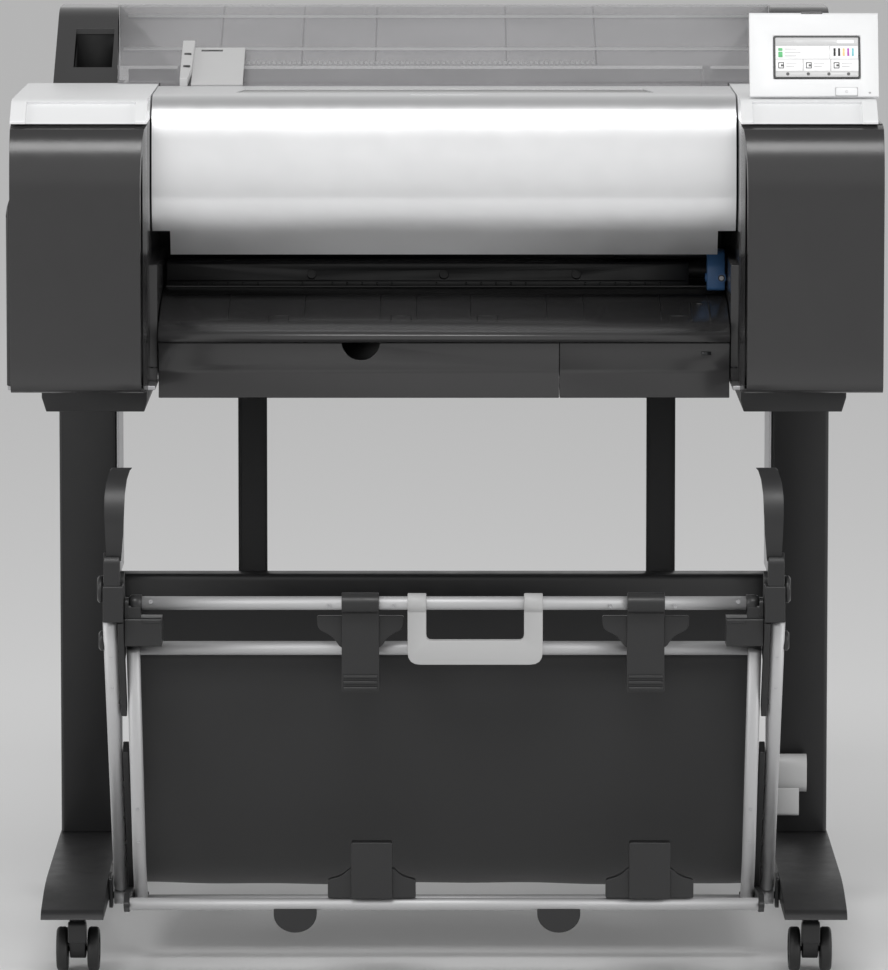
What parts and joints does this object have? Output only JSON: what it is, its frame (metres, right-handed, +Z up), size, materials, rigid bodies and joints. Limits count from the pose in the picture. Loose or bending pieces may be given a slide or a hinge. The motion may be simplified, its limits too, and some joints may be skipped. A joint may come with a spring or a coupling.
{
  "type": "large format plotter",
  "caption": "Wide roll-fed printer on a wheeled stand, with a lifting top cover, tilting touch panel and a fold-out cloth basket for cut prints.",
  "frame": {"origin": "on the floor under the centre of the whole machine's box, basket open", "axes": "+Z up, -Y towards the front where paper comes out, +X to the right as seen from the front"},
  "size_m": [0.978, 0.883, 1.0747],
  "materials": {
    "white_plastic": "fine satin grain",
    "silver_cover": "pearl silver, satin",
    "charcoal_plastic": "fine moulded grain",
    "black_plastic": "fine moulded grain",
    "stand_black": "black powder coat",
    "tube_aluminium": "satin anodised",
    "steel": "brushed",
    "grey_plastic": "moulded",
    "smoke_cover": "translucent grey",
    "blue_plastic": "moulded",
    "caster_rubber": "hard black tread",
    "cloth_black": "woven polyester",
    "screen_glass": "glossy display"
  },
  "bodies": {
    "root": {"foot_left": "stand_black", "foot_right": "stand_black", "leg_left": "stand_black", "leg_right": "stand_black", "pivot_bracket_left": "stand_black", "pivot_bracket_right": "stand_black", "cross_stay": "stand_black", "base_pan": "steel", "rear_housing": "charcoal_plastic", "side_shell_left": "charcoal_plastic", "side_shell_right": "charcoal_plastic", "side_top_left": "white_plastic", "side_top_right": "white_plastic", "end_cap_left": "charcoal_plastic", "end_cap_right": "charcoal_plastic", "platen_bar": "black_plastic", "output_guide": "charcoal_plastic", "front_lower_panel": "charcoal_plastic", "carriage_rail": "steel", "ink_tank_rack": "grey_plastic", "power_inlet": "black_plastic", "cloth_rear": "cloth_black"},
    "top_cover": {"top_cover": "silver_cover"},
    "roll_cover": {"roll_cover": "smoke_cover"},
    "width_guide": {"width_guide": "white_plastic"},
    "control_panel": {"panel_housing": "white_plastic", "panel_screen": "screen_glass"},
    "power_button": {"power_button": "white_plastic"},
    "ink_door": {"ink_door_right": "charcoal_plastic"},
    "side_door": {"side_door_left": "charcoal_plastic"},
    "accessory_drawer": {"accessory_drawer": "charcoal_plastic"},
    "print_carriage": {"print_carriage": "black_plastic"},
    "cutter_unit": {"cutter_unit": "blue_plastic"},
    "feed_roller": {"feed_roller": "steel"},
    "roll_spindle": {"roll_spindle": "black_plastic"},
    "lock_lever": {"basket_lock_lever": "grey_plastic"},
    "basket_frame": {"outer_tube_left": "tube_aluminium", "outer_tube_right": "tube_aluminium", "side_arm_left": "stand_black", "side_arm_right": "stand_black", "rod_b": "tube_aluminium", "bottom_rod": "tube_aluminium", "lower_clip_left": "black_plastic", "lower_clip_right": "black_plastic", "cloth_front": "cloth_black"},
    "stacker_frame": {"inner_frame": "tube_aluminium", "corner_block_left": "black_plastic", "corner_block_right": "black_plastic", "rod_a": "tube_aluminium", "upper_clip_left": "black_plastic", "upper_clip_right": "black_plastic"},
    "pull_handle": {"pull_handle": "grey_plastic"},
    "caster_front_left": {"caster_fork_front_left": "black_plastic"},
    "wheels_front_left": {"caster_wheels_front_left": "caster_rubber"},
    "caster_front_right": {"caster_fork_front_right": "black_plastic"},
    "wheels_front_right": {"caster_wheels_front_right": "caster_rubber"},
    "caster_rear_left": {"caster_fork_rear_left": "black_plastic"},
    "wheels_rear_left": {"caster_wheels_rear_left": "caster_rubber"},
    "caster_rear_right": {"caster_fork_rear_right": "black_plastic"},
    "wheels_rear_right": {"caster_wheels_rear_right": "caster_rubber"}
  },
  "joints": [
    {"name": "top_cover_hinge", "type": "hinge", "parent": "root", "child": "top_cover", "pos_m": [0, 0.0675, 0.97], "axis": [-1, 0, 0], "range_deg": [0, 65]},
    {"name": "roll_cover_hinge", "type": "hinge", "parent": "root", "child": "roll_cover", "pos_m": [0, 0.4175, 0.995], "axis": [-1, 0, 0], "range_deg": [0, 75]},
    {"name": "width_guide_slide", "type": "slide", "parent": "roll_cover", "child": "width_guide", "axis": [1, 0, 0], "range_m": [0, 0.3]},
    {"name": "panel_tilt", "type": "hinge", "parent": "root", "child": "control_panel", "pos_m": [0.414, -0.1805, 0.991], "axis": [-1, 0, 0], "range_deg": [0, 58]},
    {"name": "power_button_press", "type": "slide", "parent": "control_panel", "child": "power_button", "axis": [0, 0.9466, -0.3223], "range_m": [0, 0.0015], "stiffness_N_per_m": 500, "springref_m": -0.0004},
    {"name": "ink_door_hinge", "type": "hinge", "parent": "root", "child": "ink_door", "pos_m": [0.41, -0.2615, 0.66], "axis": [1, 0, 0], "range_deg": [0, 75]},
    {"name": "side_door_hinge", "type": "hinge", "parent": "root", "child": "side_door", "pos_m": [-0.41, -0.2615, 0.66], "axis": [1, 0, 0], "range_deg": [0, 75]},
    {"name": "accessory_drawer_slide", "type": "slide", "parent": "root", "child": "accessory_drawer", "axis": [0, -1, 0], "range_m": [0, 0.12]},
    {"name": "carriage_slide", "type": "slide", "parent": "root", "child": "print_carriage", "axis": [-1, 0, 0], "range_m": [0, 0.5]},
    {"name": "cutter_slide", "type": "slide", "parent": "root", "child": "cutter_unit", "axis": [-1, 0, 0], "range_m": [0, 0.58]},
    {"name": "feed_roller_spin", "type": "hinge", "parent": "root", "child": "feed_roller", "pos_m": [0, 0.0735, 0.768], "axis": [1, 0, 0], "continuous": true},
    {"name": "roll_spindle_spin", "type": "hinge", "parent": "root", "child": "roll_spindle", "pos_m": [0, 0.2855, 0.93], "axis": [1, 0, 0], "continuous": true},
    {"name": "lock_lever_hinge", "type": "hinge", "parent": "root", "child": "lock_lever", "pos_m": [0.407, 0.102, 0.182], "axis": [-1, 0, 0], "range_deg": [0, 60]},
    {"name": "basket_tilt", "type": "hinge", "parent": "root", "child": "basket_frame", "pos_m": [0, -0.1665, 0.0748], "axis": [1, 0, 0], "range_deg": [-20, 0]},
    {"name": "stacker_tilt", "type": "hinge", "parent": "basket_frame", "child": "stacker_frame", "pos_m": [0, -0.1665, 0.0748], "axis": [1, 0, 0], "range_deg": [0, 25]},
    {"name": "handle_swing", "type": "hinge", "parent": "stacker_frame", "child": "pull_handle", "pos_m": [0.03425, -0.3915, 0.4378], "axis": [1, 0, 0], "range_deg": [-150, 15]},
    {"name": "caster_swivel_front_left", "type": "hinge", "parent": "root", "child": "caster_front_left", "pos_m": [-0.412, -0.2495, 0.06], "axis": [0, 0, 1], "continuous": true},
    {"name": "wheels_roll_front_left", "type": "hinge", "parent": "caster_front_left", "child": "wheels_front_left", "pos_m": [-0.412, -0.2335, 0.025], "axis": [1, 0, 0], "continuous": true},
    {"name": "caster_swivel_front_right", "type": "hinge", "parent": "root", "child": "caster_front_right", "pos_m": [0.412, -0.2495, 0.06], "axis": [0, 0, 1], "continuous": true},
    {"name": "wheels_roll_front_right", "type": "hinge", "parent": "caster_front_right", "child": "wheels_front_right", "pos_m": [0.412, -0.2335, 0.025], "axis": [1, 0, 0], "continuous": true},
    {"name": "caster_swivel_rear_left", "type": "hinge", "parent": "root", "child": "caster_rear_left", "pos_m": [-0.412, 0.3305, 0.06], "axis": [0, 0, 1], "continuous": true},
    {"name": "wheels_roll_rear_left", "type": "hinge", "parent": "caster_rear_left", "child": "wheels_rear_left", "pos_m": [-0.412, 0.3465, 0.025], "axis": [1, 0, 0], "continuous": true},
    {"name": "caster_swivel_rear_right", "type": "hinge", "parent": "root", "child": "caster_rear_right", "pos_m": [0.412, 0.3305, 0.06], "axis": [0, 0, 1], "continuous": true},
    {"name": "wheels_roll_rear_right", "type": "hinge", "parent": "caster_rear_right", "child": "wheels_rear_right", "pos_m": [0.412, 0.3465, 0.025], "axis": [1, 0, 0], "continuous": true}
  ]
}
